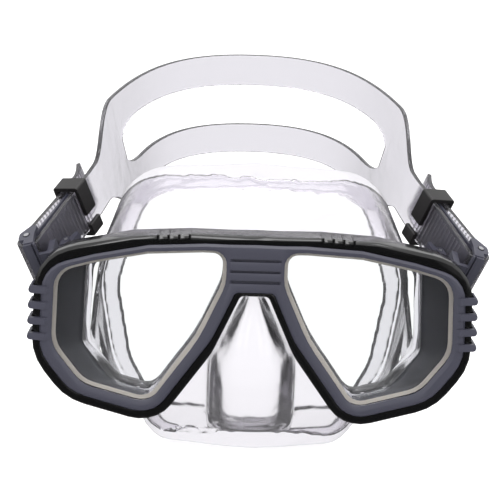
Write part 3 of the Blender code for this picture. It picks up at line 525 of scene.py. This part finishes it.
def strap_half_path():
    """From the back of the head to the tail's end: points and lengths behind the keeper."""
    leave = on_run(KEEPER_PLACE + RUN_START, -run_offset(KEEPER_PLACE))
    back = Vector((0, BACK_DEPTH, 0))
    handle_a = leave + (on_run(1, 0) - on_run(0, 0)) * SIDE_HANDLE
    handle_b = back + Vector((BACK_HANDLE, 0, 0))
    curve = []
    for i in range(STATIONS["back"] + 1):
        t = 1 - i / STATIONS["back"]
        curve.append(leave * (1 - t) ** 3 + handle_a * 3 * (1 - t) ** 2 * t
                     + handle_b * 3 * (1 - t) * t ** 2 + back * t ** 3)
    lengths = [0.0]
    for p, q in zip(reversed(curve), list(reversed(curve))[1:]):
        lengths.append(lengths[-1] + (p - q).length)
    path = list(zip(curve, reversed(lengths)))
    for i in reversed(range(STATIONS["run"])):
        length = KEEPER_PLACE * i / STATIONS["run"]
        path.append((on_run(length + RUN_START, -run_offset(length)), 0.0))
    wrap = run_offset(0.0)
    for i in range(1, STATIONS["wrap"]):
        turn = math.pi * i / STATIONS["wrap"]
        round_roller = -run_way * math.sin(turn) - run_side * math.cos(turn)
        path.append((from_roller(round_roller * wrap), 0.0))
    for i in range(STATIONS["tail"] + 1):
        length = (KEEPER_PLACE + TAIL_PAST_KEEPER) * i / STATIONS["tail"]
        path.append((on_run(length + RUN_START, tail_offset(length)), 0.0))
    return path


def strap_rows(length):
    """Heights of the strap's four edge lines at a length behind the keeper."""
    widen = min(1.0, max(0.0, (length - SPLIT_START + WIDEN_LENGTH) / WIDEN_LENGTH))
    widen = widen * widen * (3 - 2 * widen)
    half = (TAIL_WIDTH + (STRAP_WIDTH - TAIL_WIDTH) * widen) / 2
    opened = min(1.0, max(0.0, (length - SPLIT_START) / SPLIT_ROUND))
    widest = STRAP_GAP / 2
    split = SPLIT_TIP + (widest - SPLIT_TIP) * math.sqrt(1 - (1 - opened) ** 2)
    return [-half, -split, split, half]


# %% [markdown]
# The band is skinned from those stations: three strips on each face, of which the middle one
# is left out where the strap is split, and walls along every edge.


# %% The strap's band
def strap_rings():
    """Eight points across the band at every station, and whether it is split there."""
    half = strap_half_path()
    total = half[0][1]
    left_half = [(Vector((-p.x, p.y, p.z)), length) for p, length in reversed(half)]
    whole = left_half + half[1:]
    rings = []
    for index, (point, length) in enumerate(whole):
        before = whole[max(index - 1, 0)][0]
        after = whole[min(index + 1, len(whole) - 1)][0]
        fade = 1 - min(1.0, length / (LEAN_FADES * total))
        lean = STRAP_LEAN * fade * fade * (3 - 2 * fade)
        up = Vector((math.copysign(1.0, point.x) * math.sin(lean), 0, math.cos(lean)))
        normal = (after - before).normalized().cross(up).normalized() * (STRAP_THICKNESS / 2)
        row = [point + up * height for height in strap_rows(length)]
        ring = [(strap_place @ (here + normal), strap_place @ (here - normal)) for here in row]
        rings.append((ring, length > SPLIT_START))
    return rings


def strap_band():
    bm = bmesh.new()
    rings = [([tuple(bm.verts.new(p) for p in pair) for pair in ring], is_split)
             for ring, is_split in strap_rings()]

    def wall(a, b):
        bm.faces.new((a[0], b[0], b[1], a[1]))

    for (ring, split_here), (following, split_next) in zip(rings, rings[1:]):
        both = split_here and split_next
        for row in (0, 2) if both else (0, 1, 2):
            for face in (0, 1):
                bm.faces.new((ring[row][face], following[row][face],
                              following[row + 1][face], ring[row + 1][face]))
        for row in (0, 1, 2, 3) if both else (0, 3):
            wall(ring[row], following[row])
        if split_here != split_next:
            at = ring if split_here else following
            wall(at[1], at[2])
    for ring in (rings[0][0], rings[-1][0]):
        for row in range(3):
            wall(ring[row], ring[row + 1])
    bmesh.ops.recalc_face_normals(bm, faces=bm.faces[:])
    if bm.calc_volume(signed=True) < 0:
        bmesh.ops.reverse_faces(bm, faces=bm.faces[:])
    mesh = bpy.data.meshes.new("strap_band")
    bm.to_mesh(mesh)
    bm.free()
    mesh.shade_smooth()
    mesh.set_sharp_from_angle(angle=EDGE_PAST)
    mesh.materials.append(STRAP_SILICONE)
    piece = bpy.data.objects.new("strap_band", mesh)
    bpy.context.scene.collection.objects.link(piece)
    edge = piece.modifiers.new("moulded edge", "BEVEL")
    edge.width = EDGE_ROUND
    edge.segments = EDGE_ROUND_STEPS
    edge.limit_method = "ANGLE"
    edge.angle_limit = EDGE_PAST
    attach(piece, "harness")
    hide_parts("strap")
    print("strap band", len(mesh.polygons), "faces")


strap_band()

# %% [markdown]
# ## The strap's grip ribs
# Fine ribs across the band catch the buckle's pawl. They could be modelled one by one, but they
# repeat at one pitch along a line, which is what Geometry Nodes are for: the line is resampled,
# a thin bar is set on each of its points, turned to stand across the band, and sunk so that
# only its crown shows. Real ribs are finer than this; these are as coarse as they need to be
# to show.


# %% Ribs from a line
RIB_SIDES = 10


def rib_tree():
    tree = bpy.data.node_groups.new("ribs_along_line", "GeometryNodeTree")
    tree.interface.new_socket("Line", in_out="INPUT", socket_type="NodeSocketGeometry")
    for name in ("Pitch", "Rib radius", "Rib length"):
        tree.interface.new_socket(name, in_out="INPUT", socket_type="NodeSocketFloat")
    tree.interface.new_socket("Upward", in_out="INPUT", socket_type="NodeSocketVector")
    tree.interface.new_socket("Finish", in_out="INPUT", socket_type="NodeSocketMaterial")
    tree.interface.new_socket("Ribs", in_out="OUTPUT", socket_type="NodeSocketGeometry")
    given = tree.nodes.new("NodeGroupInput").outputs
    line = add_node(tree, "GeometryNodeMeshToCurve", Mesh=given["Line"])
    stations = add_node(tree, "GeometryNodeResampleCurve", {"mode": "LENGTH"},
                        Curve=line.outputs["Curve"], Length=given["Pitch"])
    bar = add_node(tree, "GeometryNodeMeshCylinder", {"fill_type": "NGON"}, Vertices=RIB_SIDES,
                   Radius=given["Rib radius"], Depth=given["Rib length"])
    turned = add_node(tree, "FunctionNodeAlignRotationToVector", {"axis": "Z"},
                      Vector=given["Upward"])
    placed = add_node(tree, "GeometryNodeInstanceOnPoints", Points=stations.outputs["Curve"],
                      Instance=bar.outputs["Mesh"], Rotation=turned.outputs["Rotation"])
    real = add_node(tree, "GeometryNodeRealizeInstances", Geometry=placed.outputs["Instances"])
    finished = add_node(tree, "GeometryNodeSetMaterial", Geometry=real.outputs["Geometry"],
                        Material=given["Finish"])
    add_node(tree, "NodeGroupOutput", Ribs=finished.outputs["Geometry"])
    return tree


RIB_TREE = rib_tree()
print("rib tree", len(RIB_TREE.nodes), "nodes")

# %% The ribs on each run
RIB_PITCH = 0.0022
RIB_RADIUS = 0.00045
RIB_LENGTH = 0.0165
RIB_SINK = 0.0001
RIBBED_FROM = 0.0060
BARE_END = 0.003
LINE_STEPS = 24


def ribs(name, hand, start, end, offset, face):
    """Ribs on one face of a run, from start to end along it."""
    side = -1 if hand == "left" else 1
    lift = face * (STRAP_THICKNESS / 2 - RIB_SINK)
    mesh = bpy.data.meshes.new(name)
    points = []
    for i in range(LINE_STEPS + 1):
        length = start + (end - start) * i / LINE_STEPS
        point = on_run(length + RUN_START, offset(length) + lift)
        points.append(strap_place @ Vector((side * point.x, point.y, point.z)))
    mesh.from_pydata(points, [(i, i + 1) for i in range(LINE_STEPS)], [])
    piece = bpy.data.objects.new(name, mesh)
    bpy.context.scene.collection.objects.link(piece)
    modifier = piece.modifiers.new("ribs", "NODES")
    modifier.node_group = RIB_TREE
    leaning = Vector((side * math.sin(STRAP_LEAN), 0, math.cos(STRAP_LEAN)))
    values = {"Pitch": RIB_PITCH, "Rib radius": RIB_RADIUS, "Rib length": RIB_LENGTH,
              "Upward": strap_place.to_3x3() @ leaning, "Finish": STRAP_SILICONE}
    for socket in RIB_TREE.interface.items_tree:
        if socket.name in values:
            modifier[socket.identifier] = values[socket.name]
    bpy.context.view_layer.update()
    solid = piece.evaluated_get(bpy.context.evaluated_depsgraph_get())
    baked = bpy.data.meshes.new_from_object(solid)
    piece.modifiers.clear()
    piece.data = baked
    baked.name = name
    baked.shade_smooth()
    baked.set_sharp_from_angle(angle=SHARP_PAST)
    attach(piece, "harness")
    print(name, len(baked.polygons), "faces")


TAIL_END = KEEPER_PLACE + TAIL_PAST_KEEPER - BARE_END
for hand in HANDS:
    ribs("run_ribs_" + hand, hand, RIBBED_FROM, KEEPER_PLACE,
         lambda length: -run_offset(length), -1)
    ribs("tail_ribs_" + hand, hand, RIBBED_FROM / 2, TAIL_END, tail_offset, 1)

# %% [markdown]
# ## Studio
# Clear silicone shows by what is round it, so the studio is a white floor in a white room, with
# large soft lamps. The long overhead lamp gives the light band along the top of the glossy rim.

# %% Floor and lamps
lowest = cad_bounds[0][2]
floor_mesh = bpy.data.meshes.new("floor")
FLOOR_HALF = 6.0
floor_mesh.from_pydata([(-FLOOR_HALF, -FLOOR_HALF, lowest), (FLOOR_HALF, -FLOOR_HALF, lowest),
                        (FLOOR_HALF, FLOOR_HALF, lowest), (-FLOOR_HALF, FLOOR_HALF, lowest)],
                       [], [(0, 1, 2, 3)])
floor = bpy.data.objects.new("floor", floor_mesh)
bpy.context.scene.collection.objects.link(floor)
floor_paint, floor_tree, floor_output = new_material("white_studio_floor")
matt = add_node(floor_tree, "ShaderNodeBsdfPrincipled", Base_Color=(0.9, 0.9, 0.9, 1),
                Roughness=0.9, Emission_Color=(1, 1, 1, 1), Emission_Strength=0.3)
floor_tree.links.new(matt.outputs["BSDF"], floor_output.inputs["Surface"])
floor_mesh.materials.append(floor_paint)
# Gloss sees the darker room below, not the floor, and so does gloss seen through glass.
floor.visible_glossy = False
floor.visible_transmission = False
LAMPS_AIM = Vector((0, 0.05, 0))


def soft_lamp(name, place, size, power):
    lamp = bpy.data.lights.new(name, "AREA")
    lamp.shape = "RECTANGLE"
    lamp.size, lamp.size_y = size
    lamp.energy = power
    holder = bpy.data.objects.new(name, lamp)
    bpy.context.scene.collection.objects.link(holder)
    place = Vector(place)
    aim = (LAMPS_AIM - place).to_track_quat("-Z", "Y")
    holder.matrix_world = Matrix.Translation(place) @ aim.to_matrix().to_4x4()
    print(name, power, "W")


soft_lamp("overhead_strip", (0.0, -0.35, 1.1), (1.3, 0.22), 4.0)
soft_lamp("overhead_softbox", (0.0, 0.30, 1.2), (1.4, 0.9), 5.0)
soft_lamp("front_left_softbox", (-0.9, -1.0, 0.9), (0.6, 0.6), 2.5)
soft_lamp("front_right_softbox", (1.0, -0.9, 0.8), (0.6, 0.6), 2.0)

# %% [markdown]
# ## The room
# The room is white, but gloss shows what stands around the object: darker below, where a table
# would be, and bright above. Only light that has bounced off a gloss sees that change, which a
# Light Path node tells.

# %% Room
ROOM_LIGHT = 1.12
world = bpy.data.worlds.new("white_room")
world.use_nodes = True
room = world.node_tree
room.nodes.clear()
direction = add_node(room, "ShaderNodeTexCoord")
parts = add_node(room, "ShaderNodeSeparateXYZ", Vector=direction.outputs["Generated"])
height = add_node(room, "ShaderNodeMapRange", {"interpolation_type": "SMOOTHSTEP"},
                  Value=parts.outputs["Z"], From_Min=-0.20, From_Max=0.30, To_Min=0.09,
                  To_Max=0.95)
path = add_node(room, "ShaderNodeLightPath")
level = add_node(room, "ShaderNodeMapRange", Value=path.outputs["Glossy Depth"],
                 To_Min=ROOM_LIGHT, To_Max=height.outputs["Result"])
backdrop = add_node(room, "ShaderNodeBackground", Color=(1, 1, 1, 1),
                    Strength=level.outputs["Result"])
sky = room.nodes.new("ShaderNodeOutputWorld")
room.links.new(backdrop.outputs["Background"], sky.inputs["Surface"])
bpy.context.scene.world = world
bpy.context.scene.view_settings.view_transform = "Standard"
print("room light", ROOM_LIGHT)
